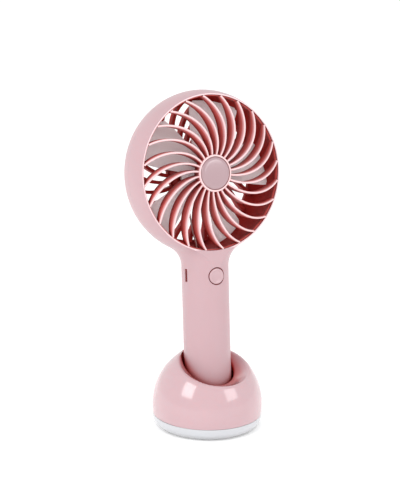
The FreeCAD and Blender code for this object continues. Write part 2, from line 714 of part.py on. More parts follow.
def base_screw(x, y):
    """A pan-head screw pointing up."""
    head = rod_z(2.1, (0.8, 2.2), x, y)
    shank = rod_z(SCREW_R, (2.0, 10.0), x, y)
    tip = Part.makeCone(SCREW_R, 0.3, 1.5, vec(x, y, 10.0), vec(0, 0, 1))
    across = block((x - 1.2, x + 1.2), (y - 0.2, y + 0.2), (0.0, 1.5))
    along = block((x - 0.2, x + 0.2), (y - 1.2, y + 1.2), (0.0, 1.5))
    return without(fused([head, shank, tip]), [across, along])


# ---------------------------------------------------------------- all the nodes

def main():
    os.makedirs("parts", exist_ok=True)
    front, rear = shells()
    fan = {
        "front_shell": front,
        "rear_shell": fused([rear, rear_grille()]),
        "front_grille": front_grille(),
        "hub_cap": hub_cap(),
        "shell_screws": group([screw_at(x, z, SHELL_SCREW_SEAT_Y, -6.4) for x, z in SHELL_SCREWS]),
        "motor_can": motor_can(),
        "motor_endcap": motor_endcap(),
        "motor_magnet": ring_y(11.3, 9.2, (6.8, 14.4)),
        "motor_bushes": group([bush((MOTOR_BOSS_Y, 6.3)), bush((15.2, ENDCAP_BACK_Y))]),
        "motor_terminals": group([terminal(-TERMINAL_X), terminal(TERMINAL_X)]),
        "motor_screws": group([
            screw_at(-MOTOR_SCREW_X, HEAD_Z, MOTOR_SCREW_SEAT_Y, 15.0),
            screw_at(MOTOR_SCREW_X, HEAD_Z, MOTOR_SCREW_SEAT_Y, 15.0),
        ]),
        "motor_shaft": rod_y(SHAFT_R, SHAFT_Y),
        "motor_armature": armature(),
        "impeller": impeller(),
        "battery_cell": cell(),
        "battery_tabs": group([
            cell_tab((CELL_Z - 0.25, CELL_Z)),
            cell_tab((CELL_Z + CELL_LENGTH, CELL_Z + CELL_LENGTH + 0.25)),
        ]),
        "circuit_board": circuit_board(),
        "board_parts": board_parts(),
        "usb_receptacle": usb_receptacle(),
        "tact_switch": tact_switch(),
        "switch_plunger": switch_plunger(),
        "power_button": power_button(),
        "battery_lead_red": battery_lead_red(),
        "battery_lead_black": battery_lead_black(),
        "motor_lead_red": motor_lead(1),
        "motor_lead_white": motor_lead(-1),
    }
    base = {
        "base_dome": base_dome(),
        "base_tray": base_tray(),
        "ballast_ring": ring_z(BALLAST_R[1], BALLAST_R[0], BALLAST_Z, BALLAST_SHIFT_Y),
        "base_screws": group([base_screw(x, y) for x, y in base_screw_places()]),
        "foot_pad": ring_z(PAD_R[1], PAD_R[0], (0.0, PAD_H)),
    }
    for node, shape in fan.items():
        save(node, placed(shape))
    for node, shape in base.items():
        save(node, shape)


main()
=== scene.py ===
import json
import math

import bpy
import numpy as np
from mathutils import Matrix, Vector


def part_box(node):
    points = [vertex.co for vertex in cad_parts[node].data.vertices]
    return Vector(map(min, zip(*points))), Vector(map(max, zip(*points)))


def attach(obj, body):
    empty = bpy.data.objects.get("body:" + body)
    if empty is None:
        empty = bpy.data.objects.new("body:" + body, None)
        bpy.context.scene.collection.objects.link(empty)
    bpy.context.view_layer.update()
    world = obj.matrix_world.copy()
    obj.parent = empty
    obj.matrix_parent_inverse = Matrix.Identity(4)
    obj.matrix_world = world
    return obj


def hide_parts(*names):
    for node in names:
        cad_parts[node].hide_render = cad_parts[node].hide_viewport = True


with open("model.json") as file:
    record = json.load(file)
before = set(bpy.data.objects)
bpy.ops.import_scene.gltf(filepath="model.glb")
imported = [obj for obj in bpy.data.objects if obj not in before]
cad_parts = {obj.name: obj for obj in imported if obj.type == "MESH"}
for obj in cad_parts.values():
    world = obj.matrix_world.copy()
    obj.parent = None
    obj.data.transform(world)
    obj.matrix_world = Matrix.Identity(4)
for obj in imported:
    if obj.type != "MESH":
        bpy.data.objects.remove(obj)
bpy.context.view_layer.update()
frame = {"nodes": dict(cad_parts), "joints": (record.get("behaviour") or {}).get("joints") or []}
MM = 0.001
PINHOLE_R = 0.02                     # turned solids keep a pinhole of this radius on their axis, millimetres

# ---------------------------------------------------------------- the fan's own axes, from the joints

JOINTS = {joint["name"]: joint for joint in frame["joints"]}
UP = Vector(JOINTS["fan_lift"]["axis"])            # along the leaning handle
HEAD = Vector(JOINTS["rotor_spin"]["pos_m"])       # centre of the head
FRONT = Vector(JOINTS["rotor_spin"]["axis"])       # out of the front grille
SIDE = Vector((1, 0, 0))


def head_place(x, y, z):
    """A point given in millimetres from the head's centre: x right, y backwards, z up the handle."""
    return HEAD + SIDE * (x * MM) - FRONT * (y * MM) + UP * (z * MM)


# ---------------------------------------------------------------- mesh helpers

def piece(name, verts, faces, body, slot, material, sharp=40):
    """A smooth-shaded mesh object that rides on a body; edges over sharp degrees stay crisp."""
    mesh = bpy.data.meshes.new(name)
    mesh.from_pydata([tuple(v) for v in verts], [], faces)
    mesh.validate()
    mesh.shade_smooth()
    mesh.set_sharp_from_angle(angle=math.radians(sharp))
    obj = bpy.data.objects.new(name, mesh)
    bpy.context.scene.collection.objects.link(obj)
    mesh.materials.append(material)
    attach(obj, body)
    return obj


def skin(rings, wrap=False):
    """Quads between closed rings of points; the ends are capped unless the last ring joins the first."""
    count = len(rings[0])
    verts = [point for ring in rings for point in ring]
    faces = []
    spans = len(rings) if wrap else len(rings) - 1
    for i in range(spans):
        a = i * count
        b = ((i + 1) % len(rings)) * count
        for j in range(count):
            k = (j + 1) % count
            faces.append((a + j, a + k, b + k, b + j))
    if not wrap:
        faces.append(tuple(range(count))[::-1])
        faces.append(tuple(range(len(verts) - count, len(verts))))
    return verts, faces


def merged(parts):
    """Several (verts, faces) pairs as one."""
    verts = []
    faces = []
    for part_verts, part_faces in parts:
        start = len(verts)
        verts.extend(part_verts)
        faces.extend(tuple(start + i for i in face) for face in part_faces)
    return verts, faces


def rounded(corners, steps=4):
    """A closed outline of (r, y) points from corners given as (r, y, rounding)."""
    result = []
    count = len(corners)
    for i, (r, y, rounding) in enumerate(corners):
        here = Vector((r, y))
        before = Vector(corners[i - 1][:2]) - here
        after = Vector(corners[(i + 1) % count][:2]) - here
        reach = min(rounding, before.length * 0.49, after.length * 0.49)
        if reach <= 0:
            result.append(here)
            continue
        first = here + before.normalized() * reach
        last = here + after.normalized() * reach
        for step in range(steps + 1):
            t = step / steps
            result.append(first * (1 - t) ** 2 + here * (2 * t * (1 - t)) + last * t ** 2)
    return result


def ring_outline(radii, span_y, roundings=(0, 0, 0, 0)):
    """A ring's section, from the inner back corner by way of the front to the outer back corner."""
    inner, outer = radii
    front, back = span_y
    corners = ((inner, back), (inner, front), (outer, front), (outer, back))
    return rounded([(r, y, rounding) for (r, y), rounding in zip(corners, roundings)])


def turned(outline, segments=96, centre_x=0.0, centre_z=0.0):
    """A closed (r, y) outline in millimetres turned about a line along the head's axis."""
    rings = []
    for i in range(segments):
        angle = 2 * math.pi * i / segments
        across = math.cos(angle)
        upward = math.sin(angle)
        rings.append([head_place(centre_x + r * across, y, centre_z + r * upward) for r, y in outline])
    return skin(rings, wrap=True)


def store_depths(obj, depths):
    """Stores a value on each vertex, 0 at an outer edge and 1 at the bottom of a recess, which sets the
    painted shade.
    """
    obj.data.attributes.new("depth", "FLOAT", "POINT").data.foreach_set("value", depths)


# ---------------------------------------------------------------- kinds of material

MOTTLE_SCALE = 55.0                  # slow drift of colour and gloss over a moulding
MOTTLE_TINT = (0.97, 1.03)
GRAIN_SCALE = 1400.0                 # fine grain of a mould's surface
GRAIN_HEIGHT = 0.0002
PLASTIC_WEAR = (0.85, 1.2)           # span of the roughness over a surface, as shares of its own
MARK_HEIGHT = 0.0001                 # drawn or turned marks on metal
MARK_SHADE = 0.82
METAL_WEAR = (0.7, 1.3)
PAINTED_SHADE_OPENNESS = (0.12, 0.86)              # ambient occlusion at which the painted shade is darkest and at which the plain colour returns
CAVITY_SAMPLES = 8
BEVEL_SAMPLES = 4
PLASTIC_IOR = 1.5
COAT_ROUGHNESS = 0.05
SCATTER_RADIUS = (1.0, 0.25, 0.2)
SCATTER_SCALE = 0.003


def nodes_of(name):
    """A new material with its node tree and shader."""
    material = bpy.data.materials.new(name)
    material.use_nodes = True
    tree = material.node_tree
    return material, tree, tree.nodes["Principled BSDF"]


def add(tree, kind, **inputs):
    """A new node with some inputs set; an underscore stands for a space."""
    node = tree.nodes.new(kind)
    for key, value in inputs.items():
        node.inputs[key.replace("_", " ")].default_value = value
    return node


def colour_ramp(tree, stops, interpolation="EASE"):
    """A colour ramp through (position, colour) stops."""
    node = tree.nodes.new("ShaderNodeValToRGB")
    node.color_ramp.interpolation = interpolation
    elements = node.color_ramp.elements
    while len(elements) < len(stops):
        elements.new(0.5)
    for element, (position, colour) in zip(elements, stops):
        element.position = position
        element.color = (*colour, 1)
    return node


def plastic(name, colour, painted_shade_colour, roughness, coat=0.0, grain=0.05, scatter=0.0, reach=0.02, edge=0.0003,
            shine=0.5):
    """Moulded plastic. Painted shade: where ambient occlusion finds a recess, its colour is mixed towards the
    darker shade colour, standing in for shade and for light bounced from wall to wall.
    """
    material, tree, shader = nodes_of(name)
    link = tree.links.new
    coords = add(tree, "ShaderNodeTexCoord")
    # painted shade: ambient occlusion drives the mix from the shade colour to the plain colour
    painted_shade_ao = add(tree, "ShaderNodeAmbientOcclusion", Distance=reach)
    painted_shade_ao.samples = CAVITY_SAMPLES
    ramp = colour_ramp(tree, [(PAINTED_SHADE_OPENNESS[0], painted_shade_colour), (PAINTED_SHADE_OPENNESS[1], colour)])
    link(painted_shade_ao.outputs["AO"], ramp.inputs["Fac"])
    mottle = add(tree, "ShaderNodeTexNoise", Scale=MOTTLE_SCALE, Detail=3.0)
    link(coords.outputs["Object"], mottle.inputs["Vector"])
    shift = add(tree, "ShaderNodeMapRange", To_Min=MOTTLE_TINT[0], To_Max=MOTTLE_TINT[1])
    link(mottle.outputs["Fac"], shift.inputs["Value"])
    tint = tree.nodes.new("ShaderNodeVectorMath")
    tint.operation = "SCALE"
    link(ramp.outputs["Color"], tint.inputs[0])
    link(shift.outputs["Result"], tint.inputs["Scale"])
    link(tint.outputs["Vector"], shader.inputs["Base Color"])
    wear = add(tree, "ShaderNodeMapRange",
               To_Min=roughness * PLASTIC_WEAR[0], To_Max=roughness * PLASTIC_WEAR[1])
    link(mottle.outputs["Fac"], wear.inputs["Value"])
    link(wear.outputs["Result"], shader.inputs["Roughness"])
    fine = add(tree, "ShaderNodeTexNoise", Scale=GRAIN_SCALE, Detail=2.0)
    link(coords.outputs["Object"], fine.inputs["Vector"])
    bump = add(tree, "ShaderNodeBump", Strength=grain, Distance=GRAIN_HEIGHT)
    link(fine.outputs["Fac"], bump.inputs["Height"])
    if edge:
        soften = add(tree, "ShaderNodeBevel", Radius=edge)
        soften.samples = BEVEL_SAMPLES
        link(soften.outputs["Normal"], bump.inputs["Normal"])
    link(bump.outputs["Normal"], shader.inputs["Normal"])
    shader.inputs["Coat Weight"].default_value = coat
    shader.inputs["Coat Roughness"].default_value = COAT_ROUGHNESS
    shader.inputs["IOR"].default_value = PLASTIC_IOR
    shader.inputs["Specular IOR Level"].default_value = shine
    if scatter:
        shader.inputs["Subsurface Weight"].default_value = scatter
        shader.inputs["Subsurface Radius"].default_value = SCATTER_RADIUS
        shader.inputs["Subsurface Scale"].default_value = SCATTER_SCALE
    return material


def metal(name, colour, roughness, grain=0.1, scale=900.0, stretch=(1, 1, 1)):
    """Bare or plated metal with fine drawn or turned marks."""
    material, tree, shader = nodes_of(name)
    link = tree.links.new
    coords = add(tree, "ShaderNodeTexCoord")
    mapping = add(tree, "ShaderNodeMapping", Scale=stretch)
    link(coords.outputs["Object"], mapping.inputs["Vector"])
    marks = add(tree, "ShaderNodeTexNoise", Scale=scale, Detail=4.0)
    link(mapping.outputs["Vector"], marks.inputs["Vector"])
    shaded = [channel * MARK_SHADE for channel in colour]
    ramp = colour_ramp(tree, [(0.0, shaded), (1.0, colour)], "LINEAR")
    link(marks.outputs["Fac"], ramp.inputs["Fac"])
    link(ramp.outputs["Color"], shader.inputs["Base Color"])
    wear = add(tree, "ShaderNodeMapRange", To_Min=roughness * METAL_WEAR[0], To_Max=roughness * METAL_WEAR[1])
    link(marks.outputs["Fac"], wear.inputs["Value"])
    link(wear.outputs["Result"], shader.inputs["Roughness"])
    bump = add(tree, "ShaderNodeBump", Strength=grain, Distance=MARK_HEIGHT)
    link(marks.outputs["Fac"], bump.inputs["Height"])
    link(bump.outputs["Normal"], shader.inputs["Normal"])
    shader.inputs["Metallic"].default_value = 1.0
    return material


def paint_shade_by_depth(material, stops):
    """Painted shade: tints a plastic through (depth, colour) stops by the depth stored on the mesh's
    vertices, darker and redder further in.
    """
    tree = material.node_tree
    shader = tree.nodes["Principled BSDF"]
    source = shader.inputs["Base Color"].links[0].from_socket
    depth = tree.nodes.new("ShaderNodeAttribute")
    depth.attribute_name = "depth"
    ramp = colour_ramp(tree, stops)
    tree.links.new(depth.outputs["Fac"], ramp.inputs["Fac"])
    blend = tree.nodes.new("ShaderNodeVectorMath")
    blend.operation = "MULTIPLY"
    tree.links.new(source, blend.inputs[0])
    tree.links.new(ramp.outputs["Color"], blend.inputs[1])
    tree.links.new(blend.outputs["Vector"], shader.inputs["Base Color"])


def translucent(material, colour, share):
    """Lets light through from behind, as a thin milky moulding does."""
    tree = material.node_tree
    shader = tree.nodes["Principled BSDF"]
    through = add(tree, "ShaderNodeBsdfTranslucent", Color=(*colour, 1))
    mix = add(tree, "ShaderNodeMixShader", Fac=share)
    tree.links.new(shader.outputs["BSDF"], mix.inputs[1])
    tree.links.new(through.outputs["BSDF"], mix.inputs[2])
    tree.links.new(mix.outputs["Shader"], tree.nodes["Material Output"].inputs["Surface"])


def emitting(material, colour, strength):
    """Gives a material a faint light of its own."""
    shader = material.node_tree.nodes["Principled BSDF"]
    shader.inputs["Emission Color"].default_value = (*colour, 1)
    shader.inputs["Emission Strength"].default_value = strength


# ---------------------------------------------------------------- this fan's materials

GLOSS_PINK = (0.515, 0.338, 0.362)
SHELL_PINK = (0.482, 0.314, 0.337)
# painted shade: the dark red that recesses of the pink shell and key are tinted to
PAINTED_SHADE_RED = (0.34, 0.030, 0.025)

SHELL = plastic("pink_shell", SHELL_PINK, PAINTED_SHADE_RED, 0.36, coat=0.08, scatter=0.1, reach=0.007)
# painted highlight: a lighter copy of the pink for the flat front rim of the head
PAINTED_HIGHLIGHT_RIM = plastic("pink_rim_painted_highlight", (0.74, 0.53, 0.55), (0.50, 0.25, 0.25), 0.3, coat=0.2, reach=0.004)
# painted shade: a dark red copy of the pink for the shell faces inside the head, for shade and red light
# bounced there
PAINTED_SHADE_INNER = plastic("pink_inner_painted_shade", (0.52, 0.042, 0.036), (0.30, 0.013, 0.010), 0.45, reach=0.03, shine=0.12)
KEY = plastic("pink_key", SHELL_PINK, PAINTED_SHADE_RED, 0.2, coat=0.5, grain=0.02, reach=0.004, edge=0)
CAP = plastic("pink_polished", (0.375, 0.248, 0.268), (0.34, 0.17, 0.17), 0.16, coat=0.7, grain=0.01,
              reach=0.003, edge=0)

# painted highlight and shade: the shell's pink made much lighter so the fin crests look lit, then darkened
# and reddened with depth as painted shade
GRILLE = plastic("pink_grille_painted_light_and_shade", (0.80, 0.57, 0.58), (0.50, 0.13, 0.12), 0.4, reach=0.005, edge=0, shine=0.15)
paint_shade_by_depth(GRILLE, [
    (0.0, (1, 1, 1)),
    (0.15, (0.88, 0.64, 0.64)),
    (0.44, (0.76, 0.21, 0.185)),
    (1.0, (0.34, 0.027, 0.021)),
])

# painted shade: the scoop and socket of the base darken and redden with depth
GLOSS = plastic("pink_gloss", GLOSS_PINK, (0.46, 0.035, 0.03), 0.16, coat=0.7, grain=0.01, scatter=0.1,
                reach=0.010, edge=0)
paint_shade_by_depth(GLOSS, [
    (0.0, (1, 1, 1)),
    (0.18, (1.0, 0.96, 0.96)),
    (0.62, (0.98, 0.58, 0.55)),
    (1.0, (0.66, 0.16, 0.13)),
])

MILK = plastic("milky_white", (0.90, 0.88, 0.89), (0.70, 0.60, 0.60), 0.38, grain=0.04, edge=0)
translucent(MILK, (0.92, 0.88, 0.89), 0.42)
# painted light: a faint glow brightens the blades, though they are no lamp
emitting(MILK, (0.93, 0.90, 0.92), 0.14)

WHITE = plastic("white_gloss", (0.54, 0.55, 0.575), (0.40, 0.40, 0.41), 0.18, coat=0.5, grain=0.02,
                reach=0.006)
# painted reflection: the white insulation is tinted pink for red light bounced inside the head
WHITE_WIRE = plastic("white_insulation", (0.62, 0.50, 0.49), (0.40, 0.12, 0.11), 0.4)
NYLON = plastic("natural_nylon", (0.80, 0.78, 0.72), (0.45, 0.35, 0.30), 0.5)
BLACK = plastic("black_nylon", (0.02, 0.02, 0.022), (0.008, 0.008, 0.008), 0.45)
FERRITE = plastic("ferrite", (0.05, 0.05, 0.055), (0.02, 0.02, 0.02), 0.7, grain=0.3)
RUBBER = plastic("foam_rubber", (0.045, 0.045, 0.05), (0.015, 0.015, 0.015), 0.85, grain=0.6)
WRAP = plastic("cell_wrap", (0.03, 0.13, 0.28), (0.01, 0.04, 0.10), 0.25, coat=0.4)
BOARD = plastic("solder_mask", (0.015, 0.16, 0.06), (0.005, 0.06, 0.02), 0.3, coat=0.3)
RED_WIRE = plastic("red_insulation", (0.55, 0.02, 0.02), (0.25, 0.01, 0.01), 0.4)
BLACK_WIRE = plastic("black_insulation", (0.02, 0.02, 0.02), (0.01, 0.01, 0.01), 0.4)
ZINC = metal("zinc_plate", (0.62, 0.63, 0.65), 0.28)
STEEL = metal("turned_steel", (0.50, 0.51, 0.53), 0.35, stretch=(1, 1, 12))
NICKEL = metal("nickel_plate", (0.66, 0.64, 0.60), 0.25)
BRONZE = metal("sintered_bronze", (0.52, 0.33, 0.16), 0.5, grain=0.4)
BRASS = metal("stamped_brass", (0.75, 0.58, 0.28), 0.3)
CORE = metal("laminations", (0.35, 0.31, 0.28), 0.45, scale=300.0, stretch=(1, 30, 1))

CAD_MATERIALS = {
    "front_shell": SHELL, "rear_shell": SHELL, "base_tray": WHITE, "shell_screws": ZINC,
    "motor_can": NICKEL, "motor_endcap": NYLON, "motor_magnet": FERRITE, "motor_bushes": BRONZE,
    "motor_terminals": BRASS, "motor_screws": ZINC, "motor_shaft": STEEL, "motor_armature": CORE,
    "battery_cell": WRAP, "battery_tabs": NICKEL, "circuit_board": BOARD, "board_parts": BLACK,
    "usb_receptacle": NICKEL, "tact_switch": BLACK, "switch_plunger": BLACK,
    "battery_lead_red": RED_WIRE, "battery_lead_black": BLACK_WIRE, "motor_lead_red": RED_WIRE,
    "motor_lead_white": WHITE_WIRE, "ballast_ring": STEEL, "base_screws": ZINC, "foot_pad": RUBBER,
    "front_grille": GRILLE, "hub_cap": CAP, "impeller": MILK, "power_button": KEY, "base_dome": GLOSS,
}


def dress_cad_nodes():
    """Gives each CAD node its material."""
    for node_name, finish in CAD_MATERIALS.items():
        data = frame["nodes"][node_name].data
        data.materials.clear()
        data.materials.append(finish)
        data.polygons.foreach_set("material_index", [0] * len(data.polygons))


# ---------------------------------------------------------------- inside of the head, with its painted shade and rim highlight, in millimetres

FRONT_CAVITY_R = 49.0
REAR_CAVITY_R = 48.9
CAVITY_FRONT_Y = -11.0
WALL_R = 43.5                        # faces further out that look outwards are outside faces
BACK_Y = 12.0                        # faces further back that look backwards are outside faces
RIM_Y = -13.7                        # plane of the front rim
RIM_SLACK = 0.03
RIM_R = 48.0
OUTWARD_COSINE = 0.25                # how far a face has to turn before it counts as looking that way
BACKWARD_COSINE = 0.5
FLAT_COSINE = 0.999


def paint_inside_shade_and_rim_highlight(node_name, cavity_r):
    """Paints shade and a highlight: gives a shell's faces inside the head a dark red copy of the pink, as
    painted shade, and the flat front rim a lighter copy, as a painted highlight.
    """
    obj = frame["nodes"][node_name]
    data = obj.data
    shade_index = len(data.materials)
    data.materials.append(PAINTED_SHADE_INNER)
    highlight_index = len(data.materials)
    data.materials.append(PAINTED_HIGHLIGHT_RIM)
    normal_turn = obj.matrix_world.to_3x3()
    for face in data.polygons:
        offset = obj.matrix_world @ face.center - HEAD
        back = -offset.dot(FRONT)
        radial = offset + FRONT * back
        normal = (normal_turn @ face.normal).normalized()
        looks_out = normal.dot(radial) > OUTWARD_COSINE * radial.length and radial.length > WALL_R * MM
        looks_back = normal.dot(FRONT) < -BACKWARD_COSINE and back > BACK_Y * MM
        in_cavity = radial.length < cavity_r * MM and back > CAVITY_FRONT_Y * MM
        if in_cavity and not looks_out and not looks_back:
            face.material_index = shade_index
        on_rim = abs(back - RIM_Y * MM) < RIM_SLACK * MM and radial.length < RIM_R * MM
        if on_rim and normal.dot(FRONT) > FLAT_COSINE:
            face.material_index = highlight_index
    data.update()


# ---------------------------------------------------------------- front grille

FIN_COUNT = 24
FIN_ARC_CENTRE = (15.54, 27.98)      # plan curve of every fin, from the head's axis, millimetres
FIN_ARC_R = 29.70
FIN_FROM_R = 10.7
FIN_TO_R = 46.8
FIN_BACK_Y = -10.0
FIN_CREST_HALF = 0.60
FIN_ROOT_HALF = 0.70
FIN_STATIONS = 40
CREST_STEPS = 6                      # round the top of a fin
CREST_MID_R = 28.0
CREST_MID_Y = -18.55
CREST_SLOPE = 0.0262
CREST_CURVE = 0.0114
RIM_RING_R = (46.4, 47.0)
RIM_RING_Y = (-12.6, -9.4)
HUB_RING_R = (10.12, 11.3)
HUB_RING_Y = (-16.1, -10.0)
PLATE_R = (1.6, 10.4)
PLATE_Y = (-13.2, -11.6)
RING_SHADE_Y = -16.0                 # the rings' depth is counted from here


def crest_y(radius):
    """Front edge of the fins: a ring-shaped swell, lower at the hub and at the rim."""
    away = radius - CREST_MID_R
    return CREST_MID_Y + CREST_SLOPE * away + CREST_CURVE * away * away


def fin_angle(radius):
    """Angle round the fin's plan arc at which it reaches this radius from the head's axis."""
    centre = Vector(FIN_ARC_CENTRE)
    cosine = (radius ** 2 - centre.length_squared - FIN_ARC_R ** 2) / (2 * FIN_ARC_R * centre.length)
    return math.atan2(centre.y, centre.x) - math.acos(cosine)


def depth_under(top, y):
    """0 at the top of a fin or ring, 1 at the back of the fins."""
    return (y - top) / (FIN_BACK_Y - top)


def fin(turn, depths):
    """One fin, turned about the head's axis; the depth of each of its vertices is added to depths."""
    rings = []
    for i in range(FIN_STATIONS + 1):
        radius = FIN_FROM_R + (FIN_TO_R - FIN_FROM_R) * i / FIN_STATIONS
        angle = fin_angle(radius)
        outward = Vector((math.cos(angle), math.sin(angle)))
        middle = Vector(FIN_ARC_CENTRE) + outward * FIN_ARC_R
        top = crest_y(radius)
        section = [(-FIN_ROOT_HALF, FIN_BACK_Y)]
        for step in range(CREST_STEPS + 1):
            bend = math.pi * step / CREST_STEPS
            section.append((-FIN_CREST_HALF * math.cos(bend), top + FIN_CREST_HALF * (1 - math.sin(bend))))
        section.append((FIN_ROOT_HALF, FIN_BACK_Y))
        ring = []
        for across, y in section:
            depths.append(depth_under(top, y))
            spot = middle + outward * across
            x = spot.x * math.cos(turn) - spot.y * math.sin(turn)
            z = spot.x * math.sin(turn) + spot.y * math.cos(turn)
            ring.append(head_place(x, y, z))
        rings.append(ring)
    return skin(rings)


def make_front_grille():
    """Fins, the thin ring round them, the hub ring and the plate behind the cap."""
    depths = []
    parts = [fin(2 * math.pi * i / FIN_COUNT, depths) for i in range(FIN_COUNT)]
    rim = ring_outline(RIM_RING_R, RIM_RING_Y, (0.2, 0.2, 0.2, 0.2))
    hub = ring_outline(HUB_RING_R, HUB_RING_Y, (0, 0.1, 0.5, 0))
    plate = ring_outline(PLATE_R, PLATE_Y)
    rings = ((rim, 128, RING_SHADE_Y), (hub, 96, RING_SHADE_Y), (plate, 64, PLATE_Y[0]))
    for outline, segments, top in rings:
        parts.append(turned(outline, segments))
        # painted shade: each ring darkens with depth behind its front
        depths.extend([min(1.0, depth_under(top, y)) for r, y in outline] * segments)
    grille = piece("front_grille_moulding", *merged(parts), "fan", "shell_pink", GRILLE)
    store_depths(grille, depths)
    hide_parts("front_grille")


# ---------------------------------------------------------------- hub cap

CAP_R = 10.02
CAP_FACE_R = 8.0
CAP_SHOULDER_R = 9.4
CAP_SHOULDER_DROP = 0.5              # behind the cap's face
CAP_EDGE_DROP = 1.5
CAP_FRONT_Y = -17.1
CAP_BACK_Y = -13.25


def make_hub_cap():
    """Polished disc whose edge falls away in two rounded steps."""
    outline = rounded([
        (PINHOLE_R, CAP_FRONT_Y, 0),
        (CAP_FACE_R, CAP_FRONT_Y, 0.6),
        (CAP_SHOULDER_R, CAP_FRONT_Y + CAP_SHOULDER_DROP, 0.6),
        (CAP_R, CAP_FRONT_Y + CAP_EDGE_DROP, 0.5),
        (CAP_R, CAP_BACK_Y, 0.1),
        (PINHOLE_R, CAP_BACK_Y, 0),
    ], 5)
    cap = piece("hub_cap_disc", *turned(outline), "fan", "cap_pink", CAP, 60)
    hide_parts("hub_cap")


# ---------------------------------------------------------------- impeller

BLADE_COUNT = 5
BLADE_START = math.radians(6)        # first blade, from straight right towards straight up
BLADE_MID_Y = -0.6
BLADE_FROM_R = 12.2
BLADE_TO_R = 44.3
BLADE_THICK = 1.3
BLADE_CAMBER = 0.9
BLADE_STATIONS = 22
BLADE_AROUND = 28
GAUGE_R = (10.5, 28.0, 47.5)         # radii at which chord and pitch are given
CHORDS = (15.0, 25.5, 31.5)
PITCHES = (44.0, 31.0, 21.0)         # degrees
THINNING = 0.35                      # share of the thickness lost towards the tip
TIP_FROM = 0.8                       # share of the span where the tip begins to round off
TIP_NARROWING = 0.14
TIP_THINNING = 0.5
TIP_ARC_FROM = 0.93                  # share of the span from which the tip follows the bore
EDGE_POWER = 0.75                    # blunter edges and a flatter face than an ellipse
FACE_POWER = 0.6
BOSS_BORE_R = 1.0
BOSS_R = 2.7
BOSS_BACK_Y = 3.4
CUP_INNER_R = 11.6
CUP_OUTER_R = 13.0
CUP_FRONT_Y = -7.4
CUP_INSIDE_Y = -5.8
CUP_BACK_Y = 3.6


def between(radius, values):
    """Quadratic through the values given at the gauge radii."""
    r0, r1, r2 = GAUGE_R
    root, middle, tip = values
    return (root * (radius - r1) * (radius - r2) / ((r0 - r1) * (r0 - r2))
            + middle * (radius - r0) * (radius - r2) / ((r1 - r0) * (r1 - r2))
            + tip * (radius - r0) * (radius - r1) / ((r2 - r0) * (r2 - r1)))


def signed_power(value, power):
    """A power that keeps the sign."""
    return math.copysign(abs(value) ** power, value)


def blade(turn):
    """One twisted, slightly cambered blade with a rounded tip."""
    rings = []
    for i in range(BLADE_STATIONS + 1):
        share = i / BLADE_STATIONS
        radius = BLADE_FROM_R + (BLADE_TO_R - BLADE_FROM_R) * share
        pitch = math.radians(between(radius, PITCHES))
        tip = max(0.0, (share - TIP_FROM) / (1 - TIP_FROM))
        half = between(radius, CHORDS) / 2 * (1 - TIP_NARROWING * tip ** 3)
        thick = BLADE_THICK * (1 - THINNING * share) * (1 - TIP_THINNING * tip ** 4)
        ring = []
        for j in range(BLADE_AROUND):
            a = 2 * math.pi * j / BLADE_AROUND
            s = half * signed_power(math.cos(a), EDGE_POWER)
            t = thick / 2 * signed_power(math.sin(a), FACE_POWER)
            camber = BLADE_CAMBER * (1 - (s / half) ** 2)
            across = s * math.cos(pitch) + t * math.sin(pitch)
            y = BLADE_MID_Y - s * math.sin(pitch) + t * math.cos(pitch) + camber
            sag = radius * radius - across * across
            out = math.sqrt(sag) if share > TIP_ARC_FROM and sag > 0 else radius
            x = out * math.cos(turn) + across * math.sin(turn)
            z = out * math.sin(turn) - across * math.cos(turn)
            ring.append(head_place(x, y, z))
        rings.append(ring)
    return skin(rings)


def make_impeller():
    """Five blades on a cup with a boss for the shaft."""
    parts = [blade(BLADE_START + 2 * math.pi * i / BLADE_COUNT) for i in range(BLADE_COUNT)]
    cup = rounded([
        (BOSS_R, BOSS_BACK_Y, 0.2),
        (BOSS_R, CUP_INSIDE_Y, 0.3),
        (CUP_INNER_R, CUP_INSIDE_Y, 1.0),
        (CUP_INNER_R, CUP_BACK_Y, 0.3),
        (CUP_OUTER_R, CUP_BACK_Y, 0.3),
        (CUP_OUTER_R, CUP_FRONT_Y, 2.4),
        (BOSS_BORE_R, CUP_FRONT_Y, 0.1),
        (BOSS_BORE_R, BOSS_BACK_Y, 0.1),
    ], 6)
    parts.append(turned(cup))
    impeller = piece("impeller_moulding", *merged(parts), "rotor", "impeller_white", MILK, 50)
    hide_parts("impeller")


# ---------------------------------------------------------------- base dome, millimetres in the frame

DOME_R = 35.0
DOME_MID_Z = 13.5
DOME_RISE = 37.0
SEAM_Z = 8.06
SCOOP_CENTRE = np.array((0.0, -15.0, 61.5))
SCOOP_R = 31.4
SCOOP_DEPTH = 13.0                   # deepest part of the scoop under the dome's own surface
SOCKET_AXIS_Y = -2.9                 # where the socket's axis meets the ground
SOCKET_R = 15.1
SOCKET_FLOOR = 11.9                  # this and the mouth are measured along the socket's axis
MOUTH_R = 16.2
MOUTH_FROM = 20.0
MOUTH_TAPER = 4.0
PLUG_R = 15.6                        # disc that closes the socket's floor
PLUG_THICK = 1.8
PLUG_SIDES = 72
SCOOP_ROUNDING = 1.8
MOUTH_ROUNDING = 0.9
SEAM_ROUNDING = 0.25

WALL_TURNS = 180                     # sections round the dome
WALL_RAYS = 220                      # points round each section
WALL_CORE_R = 25.0                   # circle inside the wall that the rays start from
WALL_CORE_PLACE = np.array((0.0, -0.6, 17.0))
RAY_REACH = 45.0
RAY_STEP = 0.5
RAY_PROBES = 90
RAY_HALVINGS = 24
RAY_CROWDING = 0.175                 # gathers the rays near the level and spreads them near the upright
RAY_SPREAD_TURN = 1.9                # where they stand furthest apart, in radians up from straight outwards


def smooth_max(a, b, k):
    """The larger of two fields, rounded over a distance k where they meet."""
    blend = np.maximum(k - np.abs(a - b), 0) / k
    return np.maximum(a, b) + blend * blend * k / 4


